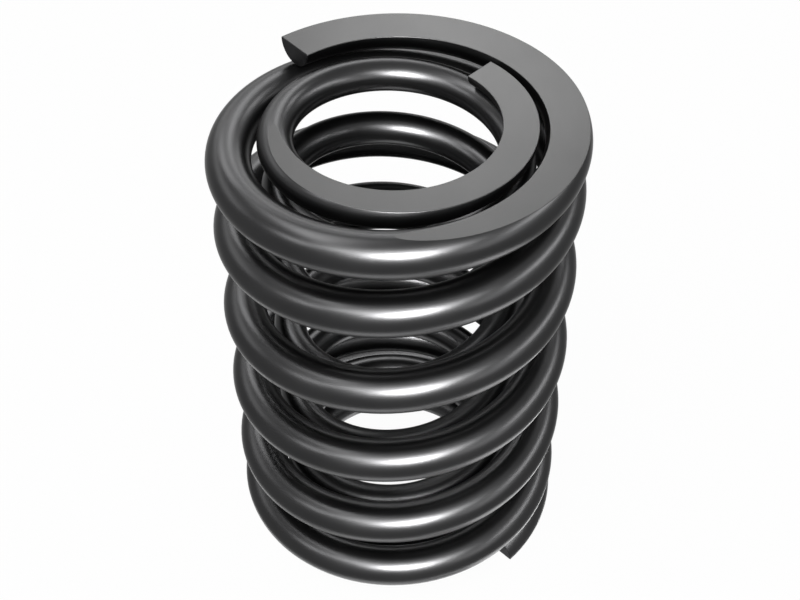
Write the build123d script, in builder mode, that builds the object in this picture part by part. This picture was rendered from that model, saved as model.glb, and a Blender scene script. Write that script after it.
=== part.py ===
from build123d import *
from dataclasses import dataclass
import math
import os

# Coupling spring: two round-wire compression springs on one axis, the smaller standing inside the
# larger. Both are wound right-handed, and at each end the last turn is closed onto its neighbour and
# ground flat, so that the pair stands square on either end.
# Millimetres and degrees. The origin is on the axis, in the plane of the lower ground ends, and +Z
# runs up the axis. Angles are counted round +Z from +X.

# Both springs
FREE_LENGTH = 97.2  # unloaded, over the ground ends
CLOSED_GAP = 0.1  # left between the wire's tip and the turn that it is closed onto
NEST_CLEARANCE = 1.15  # radial, between the outer spring's bore and the inner spring

# Outer spring
OUTER_DIAMETER = 67.0  # over the coils
OUTER_WIRE = 8.0
OUTER_TURNS = 6.487
OUTER_EASE = 1.9  # turns over which the pitch opens, from each tip
OUTER_TIP_ANGLE = 130.2  # of the upper tip

# Inner spring, which fits the outer one's bore
INNER_WIRE = 6.3
INNER_TURNS = 7.25
INNER_EASE = 2.1
INNER_TIP_ANGLE = 46.5

# Worked out from the sizes above
OUTER_MEAN_RADIUS = (OUTER_DIAMETER - OUTER_WIRE) / 2
OUTER_BORE_RADIUS = OUTER_DIAMETER / 2 - OUTER_WIRE
INNER_MEAN_RADIUS = OUTER_BORE_RADIUS - NEST_CLEARANCE - INNER_WIRE / 2
LOWER_GROUND_PLANE = Plane.XY
UPPER_GROUND_PLANE = Plane.XY.offset(FREE_LENGTH)

# The centreline's curve is drawn through points at this spacing, one millimetre along it for each
# millimetre between them
POINTS_PER_TURN = 12
EVEN_SPEED = (1, 1)


@dataclass
class Coil:
    """The centreline of a right-hand coil, from its lower tip round and up to its upper tip."""

    mean_radius: float
    wire: float
    turns: float
    ease: float
    upper_tip_angle: float

    def pitches(self):
        """Pitch at the tips and pitch in the open coils, in mm per turn.

        The pitch grows evenly from each tip over the eased turns, and then stays. Two facts set
        both values: from tip to tip the centreline rises by the free length, and one turn in from
        a tip it has risen by the wire's diameter and the closed gap.
        """
        open_turns = self.turns - self.ease
        closed_rise = self.wire + CLOSED_GAP
        tip_pitch = closed_rise - FREE_LENGTH / (2 * self.ease * open_turns)
        tip_pitch /= 1 - 1 / (2 * self.ease) - 1 / (2 * open_turns)
        open_pitch = (FREE_LENGTH - tip_pitch * self.ease) / open_turns
        return tip_pitch, open_pitch

    def rise_from_tip(self, turn):
        """Height between a tip and the point that lies this many turns in from it."""
        tip_pitch, open_pitch = self.pitches()
        eased = min(turn, self.ease)
        ramp = (open_pitch - tip_pitch) / self.ease
        return tip_pitch * eased + ramp * eased**2 / 2 + open_pitch * (turn - eased)

    def height(self, turn):
        """Height of the centreline: both ends have the same form, so the upper half mirrors it."""
        if turn < self.turns / 2:
            return self.rise_from_tip(turn)
        return FREE_LENGTH - self.rise_from_tip(self.turns - turn)

    def angle(self, turn):
        """Angle round the axis, in radians, counted back from the upper tip."""
        return math.radians(self.upper_tip_angle) - math.tau * (self.turns - turn)

    def point(self, turn):
        """Point of the centreline, this many turns up from the lower tip."""
        angle = self.angle(turn)
        radius = self.mean_radius
        return Vector(radius * math.cos(angle), radius * math.sin(angle), self.height(turn))

    def points(self):
        """Evenly spaced points of the centreline, both tips included."""
        steps = math.ceil(self.turns * POINTS_PER_TURN)
        return [self.point(self.turns * step / steps) for step in range(steps + 1)]

    def tip_tangents(self):
        """Direction of the wire at both tips: round the axis, and up by the pitch there."""
        tip_pitch, _ = self.pitches()
        along = math.tau * self.mean_radius
        tangents = []
        for turn in (0, self.turns):
            angle = self.angle(turn)
            tangents.append(Vector(-along * math.sin(angle), along * math.cos(angle), tip_pitch))
        return tangents


# Outer spring: one length of wire wound on its centreline, then ground off flat at both ends
outer_coil = Coil(OUTER_MEAN_RADIUS, OUTER_WIRE, OUTER_TURNS, OUTER_EASE, OUTER_TIP_ANGLE)
with BuildPart() as outer_spring:
    with BuildLine() as outer_centreline:
        Spline(
            outer_coil.points(),
            tangents=outer_coil.tip_tangents(),
            tangent_scalars=EVEN_SPEED,
        )
    with BuildSketch(Plane(outer_centreline.line @ 0, z_dir=outer_centreline.line % 0)):
        Circle(OUTER_WIRE / 2)
    sweep(is_frenet=True)
    split(bisect_by=LOWER_GROUND_PLANE, keep=Keep.TOP)
    split(bisect_by=UPPER_GROUND_PLANE, keep=Keep.BOTTOM)

# Inner spring: the same form in thinner wire, standing loose inside the outer spring
inner_coil = Coil(INNER_MEAN_RADIUS, INNER_WIRE, INNER_TURNS, INNER_EASE, INNER_TIP_ANGLE)
with BuildPart() as inner_spring:
    with BuildLine() as inner_centreline:
        Spline(
            inner_coil.points(),
            tangents=inner_coil.tip_tangents(),
            tangent_scalars=EVEN_SPEED,
        )
    with BuildSketch(Plane(inner_centreline.line @ 0, z_dir=inner_centreline.line % 0)):
        Circle(INNER_WIRE / 2)
    sweep(is_frenet=True)
    split(bisect_by=LOWER_GROUND_PLANE, keep=Keep.TOP)
    split(bisect_by=UPPER_GROUND_PLANE, keep=Keep.BOTTOM)

outer_spring.part.label = "outer_spring"
inner_spring.part.label = "inner_spring"

os.makedirs("parts", exist_ok=True)
export_step(outer_spring.part, "parts/outer_spring.step")
export_step(inner_spring.part, "parts/inner_spring.step")
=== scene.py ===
import math
from dataclasses import dataclass

import bpy
import numpy as np
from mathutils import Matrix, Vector


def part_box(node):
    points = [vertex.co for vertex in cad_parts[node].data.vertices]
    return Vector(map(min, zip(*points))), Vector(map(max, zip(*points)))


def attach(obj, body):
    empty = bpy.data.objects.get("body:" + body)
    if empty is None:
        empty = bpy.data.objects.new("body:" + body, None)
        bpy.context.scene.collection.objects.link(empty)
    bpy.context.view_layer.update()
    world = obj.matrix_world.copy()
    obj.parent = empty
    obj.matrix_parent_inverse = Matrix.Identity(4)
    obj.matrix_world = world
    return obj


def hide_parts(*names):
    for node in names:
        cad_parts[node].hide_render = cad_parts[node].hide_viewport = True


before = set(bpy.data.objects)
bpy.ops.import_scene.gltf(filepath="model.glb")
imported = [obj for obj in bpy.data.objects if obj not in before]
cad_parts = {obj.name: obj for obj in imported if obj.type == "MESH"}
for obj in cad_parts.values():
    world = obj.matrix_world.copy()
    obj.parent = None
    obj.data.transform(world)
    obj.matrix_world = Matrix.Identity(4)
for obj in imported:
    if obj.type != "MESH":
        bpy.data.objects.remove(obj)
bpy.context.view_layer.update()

# Outer spring: one length of 8 mm round spring steel, coiled right-handed on a mandrel and tempered
# in oil, which leaves it black. Its end turns are closed and ground flat. It stands on its own.
OUTER_WIRE = 0.008
OUTER_TURNS = 6.487
OUTER_EASED_TURNS = 1.9  # over which the pitch opens, from each tip
OUTER_TIP_ANGLE = math.radians(130.2)  # of the upper tip, round +Z from +X
CLOSED_GAP = 0.0001  # between the tip and the turn that it is closed onto

RING_POINTS = 72  # round the wire
HALF_RING = RING_POINTS // 2
FACE_STEPS = 4  # between points, from the middle of the ground face to its edge
FACE_EDGE_STEPS = 3  # round the edge between the ground face and the round wire
FACE_EDGE_RADIUS = 0.00012
THINNEST_FACE = 0.0000001  # depth of grinding that counts as none
TIP_EDGE_RADIUS = 0.00018  # round the cut end of the wire
TIP_EDGE_ANGLES = np.radians([90, 68, 45, 22, 0])  # of the rings on that edge
GROUND_STATIONS = 120  # along the ground stretch, closer together where the face runs out
RUN_OUT_CROWDING = 1.5  # power that draws them together there, where 1 is even
OPEN_STATIONS_PER_TURN = 120
SPREAD_TURNS = 0.35  # over which the ring's points even out, past the ground stretch
RUN_OUT_SAMPLES = 4001  # of the eased turns, to find where the ground face runs out
HUB_PLACE = 0.42  # share of the wire's radius, from its centre to the middle of the half round
SAME_PLACE_DECIMALS = 9  # to which points in one place agree, in metres


@dataclass
class Winding:
    """A right-hand coil of round wire with closed end turns. Turns count from its lower tip."""

    mean_radius: float
    wire_radius: float
    length: float
    turns: float
    eased_turns: float
    upper_tip_angle: float

    def climb_rates(self):
        """Climb per turn at the tips and in the open coils.

        The first turn climbs by the wire's diameter and the closed gap, and the whole wire climbs
        by the length, with the rate growing evenly over the eased turns.
        """
        open_turns = self.turns - self.eased_turns
        first_climb = 2 * self.wire_radius + CLOSED_GAP
        at_tip = first_climb - self.length / (2 * self.eased_turns * open_turns)
        at_tip /= 1 - 1 / (2 * self.eased_turns) - 1 / (2 * open_turns)
        return at_tip, (self.length - at_tip * self.eased_turns) / open_turns

    def height_and_climb(self, turn):
        """Height is the rate summed up from the nearer tip, and both ends have the same form."""
        at_tip, opened = self.climb_rates()
        from_tip = np.minimum(turn, self.turns - turn)
        eased = np.minimum(from_tip, self.eased_turns)
        climb = at_tip + (opened - at_tip) * eased / self.eased_turns
        rise = (at_tip + climb) / 2 * eased + opened * (from_tip - eased)
        return np.where(turn < self.turns / 2, rise, self.length - rise), climb

    def frames(self, turn, ahead):
        """Centre of the wire and the directions outward, along and up across it, at each station.

        The centre goes round the axis once a turn while it climbs, and ahead shifts it along the
        wire. Up is square to the wire and to the direction away from the axis.
        """
        height, climb = self.height_and_climb(turn)
        angle = self.upper_tip_angle - math.tau * (self.turns - turn)
        slope = np.arctan2(climb, math.tau * self.mean_radius)
        cos, sin, none = np.cos(angle), np.sin(angle), np.zeros_like(angle)
        outward = np.stack([cos, sin, none], -1)
        along = np.stack([-sin * np.cos(slope), cos * np.cos(slope), np.sin(slope)], -1)
        centre = self.mean_radius * outward + ahead[:, None] * along
        centre[:, 2] += height
        return centre, outward, along, np.cross(outward, along), slope

    def ground_turns(self):
        """Turns from a tip to the place where the ground face runs out, on top of the wire.

        The centre's height there, divided by the cosine of the wire's slope, is the wire's radius.
        """
        turn = np.linspace(0, self.eased_turns, RUN_OUT_SAMPLES)
        height, climb = self.height_and_climb(turn)
        slope = np.arctan2(climb, math.tau * self.mean_radius)
        return float(np.interp(self.wire_radius, height / np.cos(slope), turn))


def stations(winding):
    """Places of the rings along the wire: turn, shift along it, inset, lean to the end, spread.

    From the lower tip come the rings that round the edge of the cut end, then those of the ground
    stretch, then half the open ones, and the other half of the wire mirrors them. The spread goes
    from 0 to 1 along a smooth step.
    """
    ground = winding.ground_turns()
    first = 2 * TIP_EDGE_RADIUS / (math.tau * winding.mean_radius)  # clear of the tip's edge
    share = np.linspace(0, 1, GROUND_STATIONS + 1)
    ground_turn = first + (ground - first) * (1 - (1 - share) ** RUN_OUT_CROWDING)
    middle = winding.turns / 2
    open_count = math.ceil((middle - ground) * OPEN_STATIONS_PER_TURN)
    open_turn = ground + (middle - ground) * np.arange(1, open_count + 1) / open_count
    turn = np.concatenate([np.zeros(len(TIP_EDGE_ANGLES)), ground_turn, open_turn])
    rounding = np.concatenate([TIP_EDGE_ANGLES, np.zeros(len(turn) - len(TIP_EDGE_ANGLES))])
    at_edge = np.arange(len(turn)) < len(TIP_EDGE_ANGLES)
    ahead = np.where(at_edge, TIP_EDGE_RADIUS * (1 - np.sin(rounding)), 0)
    inset = TIP_EDGE_RADIUS * (1 - np.cos(rounding))
    past = np.clip((turn - ground) / SPREAD_TURNS, 0, 1)
    spread = past * past * (3 - 2 * past)
    back = slice(-2, None, -1)  # the ring in the middle stands once
    return (
        np.concatenate([turn, winding.turns - turn[back]]),
        np.concatenate([ahead, -ahead[back]]),
        np.concatenate([inset, inset[back]]),
        np.concatenate([-rounding, rounding[back]]),
        np.concatenate([spread, spread[back]]),
    )


def ring_section(level, radius, spread):
    """Outline of the wire, with its ground side up: sideways and upward, and its normals.

    Parameters are the station and the ring's point. From the middle of the ground side, the points
    run along a straight line at the level, round a small arc that touches the line and the wire,
    and on round the wire to its far side. Past the ground stretch the spread takes them from there
    to even steps round the circle.
    """
    point = np.arange(RING_POINTS)
    point = np.where(point > HALF_RING, point - RING_POINTS, point)
    side, step = np.sign(point), np.abs(point)
    corner = FACE_STEPS + FACE_EDGE_STEPS
    radius, spread = radius[:, None], spread[:, None]
    level = np.where(level[:, None] > radius - THINNEST_FACE, radius, level[:, None])
    arc_middle = level - FACE_EDGE_RADIUS
    reach = np.sqrt(np.maximum((radius - FACE_EDGE_RADIUS) ** 2 - arc_middle**2, 0))
    corner_angle = np.arctan2(reach, arc_middle)
    edge_angle = corner_angle * np.clip((step - FACE_STEPS) / FACE_EDGE_STEPS, 0, 1)
    cut_x = reach * np.clip(step / FACE_STEPS, 0, 1) + FACE_EDGE_RADIUS * np.sin(edge_angle)
    cut_y = arc_middle + FACE_EDGE_RADIUS * np.cos(edge_angle)
    round_share = (step - corner) / (HALF_RING - corner)
    round_angle = corner_angle + (math.pi - corner_angle) * round_share
    round_angle = np.where(step <= corner, 0, round_angle)
    round_angle = round_angle * (1 - spread) + math.pi * step / HALF_RING * spread
    on_cut = (step <= corner) & (spread == 0)
    angle = np.where(on_cut, edge_angle, round_angle)
    x = np.where(on_cut, cut_x, radius * np.sin(round_angle))
    y = np.where(on_cut, cut_y, radius * np.cos(round_angle))
    return -side * x, y, -side * np.sin(angle), np.cos(angle)


WIRE_FINISH, GROUND_FINISH, CUT_FINISH = 0, 1, 2  # places in the list of finishes


def ring_faces(winding, turn, lean, normal):
    """Four-cornered faces between neighbouring rings: their points, normals and finishes.

    Parameters are the strip between two rings and the place round it, whose steps from the middle
    of the ground side tell the faces of the ground stretch.
    """
    rows, columns = np.meshgrid(np.arange(len(turn) - 1), np.arange(RING_POINTS), indexing="ij")
    after = (columns + 1) % RING_POINTS
    corner_rows = np.stack([rows, rows + 1, rows + 1, rows], -1)
    corner_columns = np.stack([columns, columns, after, after], -1)
    quads = (corner_rows * RING_POINTS + corner_columns).reshape(-1, 4)
    normals = normal[corner_rows, corner_columns].reshape(-1, 4, 3)

    middle = (turn[:-1] + turn[1:])[:, None] / 2
    upper = middle > winding.turns / 2
    in_stretch = np.minimum(middle, winding.turns - middle) < winding.ground_turns()
    from_upper = np.arange(RING_POINTS) + 0.5 - np.where(upper, 0, HALF_RING)
    step = np.abs((from_upper + HALF_RING) % RING_POINTS - HALF_RING)
    straight = ((lean[:-1] == 0) & (lean[1:] == 0))[:, None]
    flat = (in_stretch & (step < FACE_STEPS) & straight).reshape(-1)
    upright = np.broadcast_to(np.where(upper, 1.0, -1.0), step.shape).reshape(-1)
    normals[flat] = upright[flat][:, None, None] * np.array([0, 0, 1.0])
    ground_side = in_stretch & (step < FACE_STEPS + FACE_EDGE_STEPS)
    finish = np.where(ground_side, GROUND_FINISH, WIRE_FINISH)
    return quads, normals, np.where(straight, finish, CUT_FINISH).reshape(-1)


def spring_piece(name, places, quads, triangles, corner_normals, finishes, on_wire):
    """Puts a spring's faces into a mesh, without the points that no face uses.

    Of the faces, those with four corners come first. The finishes have a value for each face, and
    the normals one for each of its corners.
    """
    corners = np.concatenate([quads.reshape(-1), triangles.reshape(-1)])
    used, compact = np.unique(corners, return_inverse=True)
    compact = compact.reshape(-1)
    four_cornered = compact[: quads.size].reshape(-1, 4).tolist()
    three_cornered = compact[quads.size :].reshape(-1, 3).tolist()
    mesh = bpy.data.meshes.new(name)
    mesh.from_pydata(places[used], [], four_cornered + three_cornered)
    mesh.polygons.foreach_set("material_index", finishes.astype(np.int32))
    mesh.polygons.foreach_set("use_smooth", np.ones(len(finishes), bool))
    mesh.normals_split_custom_set(corner_normals)
    attribute = mesh.attributes.new("on_wire", "FLOAT_VECTOR", "POINT")
    attribute.data.foreach_set("vector", on_wire[used].astype(np.float32).ravel())
    piece = bpy.data.objects.new(name, mesh)
    bpy.context.scene.collection.objects.link(piece)
    return piece


def wound_wire(name, winding):
    """A spring's surface: the ring section carried along the winding, closed by a face at each tip.

    At the lower end the section is turned upside down. A point is the centre, plus the section's
    sideways part times the outward direction, plus its upward part times the direction up.
    """
    turn, ahead, inset, lean, spread = stations(winding)
    centre, outward, along, up, slope = winding.frames(turn, ahead)
    upper = turn > winding.turns / 2
    to_plane = np.where(upper, winding.length - centre[:, 2], centre[:, 2]) / np.cos(slope)
    section = ring_section(to_plane - inset, winding.wire_radius - inset, spread)
    turned = np.where(upper, 1, -1)[:, None]
    shift = np.where(upper, 0, HALF_RING)[:, None]
    source = (np.arange(RING_POINTS) - shift) % RING_POINTS
    x, y, normal_x, normal_y = (turned * np.take_along_axis(part, source, 1) for part in section)
    place = centre[:, None] + x[..., None] * outward[:, None] + y[..., None] * up[:, None]
    normal = normal_x[..., None] * outward[:, None] + normal_y[..., None] * up[:, None]
    normal = normal * np.cos(lean)[:, None, None] + along[:, None] * np.sin(lean)[:, None, None]

    # Faces of the cut ends are fans from a hub in the middle of the half round
    tips = [0, -1]
    hub_shift = np.array([1, -1]) * HUB_PLACE * winding.wire_radius
    hubs = centre[tips] + hub_shift[:, None] * up[tips]
    lower_hub = np.full(RING_POINTS, len(turn) * RING_POINTS)
    ring = np.arange(RING_POINTS)
    after = (ring + 1) % RING_POINTS
    last_ring = (len(turn) - 1) * RING_POINTS
    lower_fan = np.stack([lower_hub, ring, after], -1)
    upper_fan = np.stack([lower_hub + 1, last_ring + after, last_ring + ring], -1)
    fans = np.concatenate([lower_fan, upper_fan])
    fan_normals = np.repeat([-along[0], along[-1]], 3 * RING_POINTS, axis=0)

    # Where the ground face runs out, its points are one, and a face that loses a corner by it is
    # left with three
    places = np.concatenate([place.reshape(-1, 3), hubs])
    rounded = np.round(places, SAME_PLACE_DECIMALS)
    _, first, same = np.unique(rounded, axis=0, return_index=True, return_inverse=True)
    same = first[same.reshape(-1)]
    quads, quad_normals, finish = ring_faces(winding, turn, lean, normal)
    quads = same[quads]
    repeated = quads == np.roll(quads, -1, axis=1)
    whole = ~repeated.any(1)
    pinched = repeated.sum(1) == 1
    kept = ~repeated[pinched]
    pinched_faces = quads[pinched][kept].reshape(-1, 3)
    pinched_normals = quad_normals[pinched][kept]

    # Place on the wire, for marks that follow it: run along it, and sideways and up across it
    run = turn * math.tau * winding.mean_radius + ahead
    ring_places = np.stack([np.broadcast_to(run[:, None], x.shape), x, y], -1).reshape(-1, 3)
    hub_places = np.stack([run[tips], np.zeros(2), np.zeros(2)], -1)
    return spring_piece(
        name,
        places,
        quads[whole],
        np.concatenate([pinched_faces, same[fans]]),
        np.concatenate([quad_normals[whole].reshape(-1, 3), pinched_normals, fan_normals]),
        np.concatenate([finish[whole], finish[pinched], np.full(len(fans), CUT_FINISH)]),
        np.concatenate([ring_places, hub_places]),
    )


GRAZING_TINT = 0.6  # brightness of the steel's shine at grazing angles, where 1 is white
NOISE_LOW, NOISE_HIGH = 0.3, 0.7  # most of a noise lies between them
MARK_TURN = math.radians(28)  # of the noise in the grinder's marks, which run along Y


def node(tree, kind, **values):
    """Adds a node to a material, and sets its properties and inputs by name."""
    made = tree.nodes.new(kind)
    for key, value in values.items():
        if key in made.bl_rna.properties:
            setattr(made, key, value)
        else:
            made.inputs[key.replace("_", " ")].default_value = value
    return made


def bare_steel(name):
    """A material of bare steel, with its node tree."""
    material = bpy.data.materials.new(name)
    material.use_nodes = True
    shader = material.node_tree.nodes["Principled BSDF"]
    shader.inputs["Metallic"].default_value = 1.0
    shader.inputs["Specular Tint"].default_value = (GRAZING_TINT, GRAZING_TINT, GRAZING_TINT, 1)
    return material, material.node_tree


def noise(tree, place, scale, detail, roughness, turned=0.0):
    """A noise stretched by its scales, in waves per metre, and then turned round +Z."""
    mapping = node(tree, "ShaderNodeMapping", Scale=scale, Rotation=(0, 0, turned))
    made = node(tree, "ShaderNodeTexNoise", Scale=1.0, Detail=detail, Roughness=roughness)
    tree.links.new(place, mapping.inputs["Vector"])
    tree.links.new(mapping.outputs["Vector"], made.inputs["Vector"])
    return made.outputs["Fac"]


def set_tones(tree, pattern, dark, light):
    """Takes the steel's colour from dark to light where the pattern goes from low to high."""
    ramp = node(tree, "ShaderNodeValToRGB")
    low_stop, high_stop = ramp.color_ramp.elements
    low_stop.position, low_stop.color = NOISE_LOW, (*dark, 1)
    high_stop.position, high_stop.color = NOISE_HIGH, (*light, 1)
    tree.links.new(pattern, ramp.inputs["Fac"])
    tree.links.new(ramp.outputs["Color"], tree.nodes["Principled BSDF"].inputs["Base Color"])


def set_roughness(tree, pattern, smooth, rough):
    """Takes the steel's roughness from smooth to rough where the pattern goes from low to high."""
    spread = node(tree, "ShaderNodeMapRange", From_Min=NOISE_LOW, From_Max=NOISE_HIGH)
    spread.inputs["To Min"].default_value = smooth
    spread.inputs["To Max"].default_value = rough
    tree.links.new(pattern, spread.inputs["Value"])
    tree.links.new(spread.outputs["Result"], tree.nodes["Principled BSDF"].inputs["Roughness"])


def set_relief(tree, pattern, strength, depth):
    """Raises the steel where the pattern is high, by the depth in metres at full strength."""
    bump = node(tree, "ShaderNodeBump", Strength=strength, Distance=depth)
    tree.links.new(pattern, bump.inputs["Height"])
    tree.links.new(bump.outputs["Normal"], tree.nodes["Principled BSDF"].inputs["Normal"])


def black_wire():
    """Finish of the round wire: black temper skin over drawn steel, with faint die lines."""
    material, tree = bare_steel("oil_blackened_wire")
    on_wire = node(tree, "ShaderNodeAttribute", attribute_name="on_wire").outputs["Vector"]
    die_lines = noise(tree, on_wire, scale=(60, 9000, 9000), detail=2.0, roughness=0.5)
    clouds = noise(tree, on_wire, scale=(90, 260, 260), detail=4.0, roughness=0.55)
    set_tones(tree, clouds, dark=(0.0255, 0.0255, 0.026), light=(0.029, 0.029, 0.0295))
    set_roughness(tree, clouds, smooth=0.28, rough=0.32)
    set_relief(tree, die_lines, strength=0.12, depth=0.00001)
    return material


def ground_steel():
    """Finish of the ground faces: satin grey steel with the fine marks of the face grinder."""
    material, tree = bare_steel("ground_end_face")
    place = node(tree, "ShaderNodeTexCoord").outputs["Object"]
    marks = noise(tree, place, (12000, 160, 1), detail=3.0, roughness=0.6, turned=MARK_TURN)
    clouds = noise(tree, place, (90, 90, 90), detail=4.0, roughness=0.5)
    set_tones(tree, clouds, dark=(0.0315, 0.0315, 0.0315), light=(0.0345, 0.0345, 0.0345))
    set_roughness(tree, marks, smooth=0.28, rough=0.33)
    set_relief(tree, marks, strength=0.08, depth=0.00001)
    return material


def cut_end():
    """Finish of the cut ends: sheared before tempering, so as black as the wire, and duller."""
    material, tree = bare_steel("blackened_cut_end")
    place = node(tree, "ShaderNodeTexCoord").outputs["Object"]
    grain = noise(tree, place, (900, 900, 900), detail=5.0, roughness=0.6)
    set_tones(tree, grain, dark=(0.0115, 0.0115, 0.012), light=(0.0165, 0.0165, 0.017))
    set_roughness(tree, grain, smooth=0.42, rough=0.52)
    set_relief(tree, grain, strength=0.3, depth=0.00004)
    return material


outer_low, outer_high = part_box("outer_spring")
free_length = outer_high.z - outer_low.z
outer_winding = Winding(
    mean_radius=outer_high.y - OUTER_WIRE / 2,
    wire_radius=OUTER_WIRE / 2,
    length=free_length,
    turns=OUTER_TURNS,
    eased_turns=OUTER_EASED_TURNS,
    upper_tip_angle=OUTER_TIP_ANGLE,
)
outer = wound_wire("outer_coil", outer_winding)
finishes = [black_wire(), ground_steel(), cut_end()]
for finish in finishes:
    outer.data.materials.append(finish)
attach(outer, "root")
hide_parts("outer_spring")

# Inner spring: the same form in 6.3 mm wire, standing loose inside the outer spring on the same
# seats, with daylight all round it.
INNER_WIRE = 0.0063
INNER_TURNS = 7.25
INNER_EASED_TURNS = 2.1
INNER_TIP_ANGLE = math.radians(46.5)

inner_low, inner_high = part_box("inner_spring")
inner_winding = Winding(
    mean_radius=(inner_high.y - inner_low.y) / 2 - INNER_WIRE / 2,
    wire_radius=INNER_WIRE / 2,
    length=free_length,
    turns=INNER_TURNS,
    eased_turns=INNER_EASED_TURNS,
    upper_tip_angle=INNER_TIP_ANGLE,
)
inner = wound_wire("inner_coil", inner_winding)
for finish in finishes:
    inner.data.materials.append(finish)
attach(inner, "root")
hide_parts("inner_spring")

# Floor: a plain pale sheet that the springs stand on, wide enough to fill the picture. It shows
# white, with their soft shadow.
FLOOR_RADIUS = 2.0
FLOOR_CORNERS = 64
FLOOR_WHITE = 0.97  # share of plain white in what the camera sees; the rest takes the shadow
SHEET_COLOUR = (0.9, 0.9, 0.9, 1)
WHITE = (1, 1, 1, 1)

floor_mesh = bpy.data.meshes.new("floor")
floor_angle = np.arange(FLOOR_CORNERS) * math.tau / FLOOR_CORNERS
floor_rim = np.stack([np.cos(floor_angle), np.sin(floor_angle), np.zeros(FLOOR_CORNERS)], -1)
floor_mesh.from_pydata(floor_rim * FLOOR_RADIUS, [], [list(range(FLOOR_CORNERS))])
floor = bpy.data.objects.new("floor", floor_mesh)
bpy.context.scene.collection.objects.link(floor)
# The lamps below it light the steel through it, and the steel shows the white room there
floor.visible_glossy = False
floor.visible_shadow = False


def seen_directly(tree):
    """A value that is 1 for rays from the camera, in gloss and through glass, and 0 for others."""
    path = node(tree, "ShaderNodeLightPath")
    either = node(tree, "ShaderNodeMath", operation="MAXIMUM")
    any_of_them = node(tree, "ShaderNodeMath", operation="MAXIMUM")
    tree.links.new(path.outputs["Is Camera Ray"], either.inputs[0])
    tree.links.new(path.outputs["Is Glossy Ray"], either.inputs[1])
    tree.links.new(either.outputs[0], any_of_them.inputs[0])
    tree.links.new(path.outputs["Is Transmission Ray"], any_of_them.inputs[1])
    return any_of_them.outputs[0]


sheet = bpy.data.materials.new("pale_sheet")
sheet.use_nodes = True
sheet_tree = sheet.node_tree
sheet_tree.nodes.remove(sheet_tree.nodes["Principled BSDF"])
sheet_matt = node(sheet_tree, "ShaderNodeBsdfDiffuse", Color=SHEET_COLOUR)
sheet_white = node(sheet_tree, "ShaderNodeEmission", Color=WHITE, Strength=1.0)
sheet_share = node(sheet_tree, "ShaderNodeMath", operation="MULTIPLY")
sheet_share.inputs[1].default_value = FLOOR_WHITE
sheet_mix = node(sheet_tree, "ShaderNodeMixShader")
sheet_tree.links.new(seen_directly(sheet_tree), sheet_share.inputs[0])
sheet_tree.links.new(sheet_share.outputs[0], sheet_mix.inputs["Fac"])
sheet_tree.links.new(sheet_matt.outputs[0], sheet_mix.inputs[1])
sheet_tree.links.new(sheet_white.outputs[0], sheet_mix.inputs[2])
sheet_tree.links.new(sheet_mix.outputs[0], sheet_tree.nodes["Material Output"].inputs["Surface"])
floor_mesh.materials.append(sheet)

# Room: an even pale surround, white where it is seen and at a plain level where it lights. Soft
# lamps all round it give the steel its long highlights and the thin light lines along its rims.
ROOM_LIGHT = 0.45  # brightness with which it lights, where 1 is white
LAMP_DISTANCE = 1.0

world = bpy.data.worlds.new("pale_room")
bpy.context.scene.world = world
world.use_nodes = True
room_tree = world.node_tree
room_light = room_tree.nodes["Background"]
room_light.inputs["Color"].default_value = WHITE
room_light.inputs["Strength"].default_value = ROOM_LIGHT
room_white = node(room_tree, "ShaderNodeBackground", Color=WHITE, Strength=1.0)
room_mix = node(room_tree, "ShaderNodeMixShader")
room_tree.links.new(seen_directly(room_tree), room_mix.inputs["Fac"])
room_tree.links.new(room_light.outputs[0], room_mix.inputs[1])
room_tree.links.new(room_white.outputs[0], room_mix.inputs[2])
room_tree.links.new(room_mix.outputs[0], room_tree.nodes["World Output"].inputs["Surface"])


def soft_lamp(name, azimuth, elevation, width, height, strength):
    """A soft-edged oval lamp that faces the springs' middle.

    Azimuth is counted from the far side towards the right, as the camera sees them. Width and
    height are the angles that the lamp fills, all in degrees. Strength is its brightness, where 1
    is white, and its power is that times pi and the oval's area.
    """
    lamp = bpy.data.lights.new(name, "AREA")
    lamp.shape = "ELLIPSE"
    lamp.size = 2 * LAMP_DISTANCE * math.tan(math.radians(width / 2))
    lamp.size_y = 2 * LAMP_DISTANCE * math.tan(math.radians(height / 2))
    lamp.energy = strength * math.pi * (math.pi / 4 * lamp.size * lamp.size_y)
    placed = bpy.data.objects.new(name, lamp)
    bpy.context.scene.collection.objects.link(placed)
    turn, lift = math.radians(azimuth), math.radians(elevation)
    across = math.cos(lift)
    back = Vector((math.sin(turn) * across, math.cos(turn) * across, math.sin(lift)))
    placed.location = Vector((0, 0, free_length / 2)) + back * LAMP_DISTANCE
    placed.rotation_mode = "QUATERNION"
    placed.rotation_quaternion = back.to_track_quat("Z", "Y")
    placed.visible_camera = False
    return placed


# One lamp lights matt surfaces, at a plain level
plain_lamp = soft_lamp("plain_lamp", azimuth=-150, elevation=60, width=40, height=40, strength=4.0)
plain_lamp.visible_glossy = False

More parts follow.
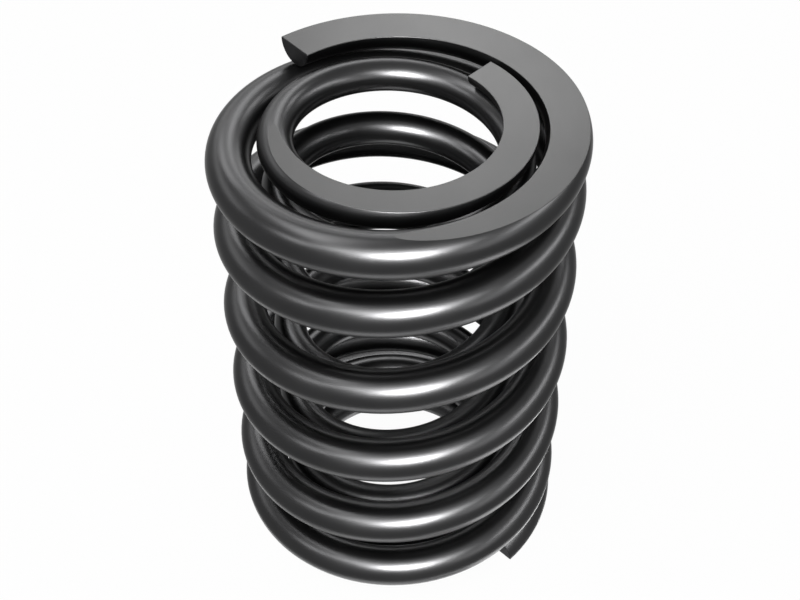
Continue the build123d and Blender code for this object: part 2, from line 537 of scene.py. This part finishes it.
# The others are seen only in the steel's shine. A row gives a lamp's azimuth and elevation, its
# width and height, and its strength.
SHINE_LAMPS = [
    ("front_high", -179, 38, 30, 24, 109),
    ("front_high_right", 150, 46, 18, 14, 12.5),
    ("front_right", 132, 16, 36, 20, 3.4),
    ("front_top", -168, 57, 30, 12, 10),
    ("front_high_left", -144, 44, 26, 12, 17.5),
    ("left_front", -116, 33, 22, 12, 11),
    ("left_high", -90, 61, 62, 10, 8.5),
    ("left_top", -66, 67, 32, 12, 10),
    ("left_low", -62, 21, 48, 14, 3.6),
    ("back_left", -30, 34, 18, 12, 12),
    ("back_mid", -6, 32, 24, 9, 7.5),
    ("back", 7, 37, 20, 10, 12),
    ("back_high", -8, 48, 28, 12, 5),
    ("back_right", 39, 36, 14, 10, 16),
    ("back_low", -20, 14, 40, 14, 3.8),
    ("back_low_right", 10, 15, 24, 14, 7.2),
    ("right", 100, 28, 44, 10, 16),
    ("right_near", 71, 25, 26, 10, 7.3),
    ("under", 0, -88, 44, 44, 2.5),
    ("under_left", -85, -60, 50, 14, 1.9),
    ("under_right", 78, -63, 50, 13, 5.2),
    ("under_front_right", 122, -57, 44, 12, 6.5),
    ("under_front", -166, -66, 44, 18, 4.4),
]
for shine_lamp in SHINE_LAMPS:
    soft_lamp(*shine_lamp).visible_diffuse = False

# Camera: in front of the springs, a quarter of a metre from their middle, and looking down at them
# by 45 degrees.
CAMERA_PLACE = (0.000407, -0.17837, 0.23180)
CAMERA_TILT = math.radians(45.063)  # up from looking straight down
CAMERA_LENS = 58.22  # millimetres
PICTURE_WIDTH = 36.0  # millimetres, behind the lens
CAMERA_NEAREST = 0.01  # metres, to what the camera starts to see
CAMERA_FARTHEST = 20.0

camera_data = bpy.data.cameras.new("camera")
camera_data.lens = CAMERA_LENS
camera_data.sensor_width = PICTURE_WIDTH
camera_data.clip_start = CAMERA_NEAREST
camera_data.clip_end = CAMERA_FARTHEST
camera = bpy.data.objects.new("camera", camera_data)
camera.location = CAMERA_PLACE
camera.rotation_euler = (CAMERA_TILT, 0, 0)
bpy.context.scene.collection.objects.link(camera)
bpy.context.scene.camera = camera
bpy.context.scene.view_settings.view_transform = "Standard"
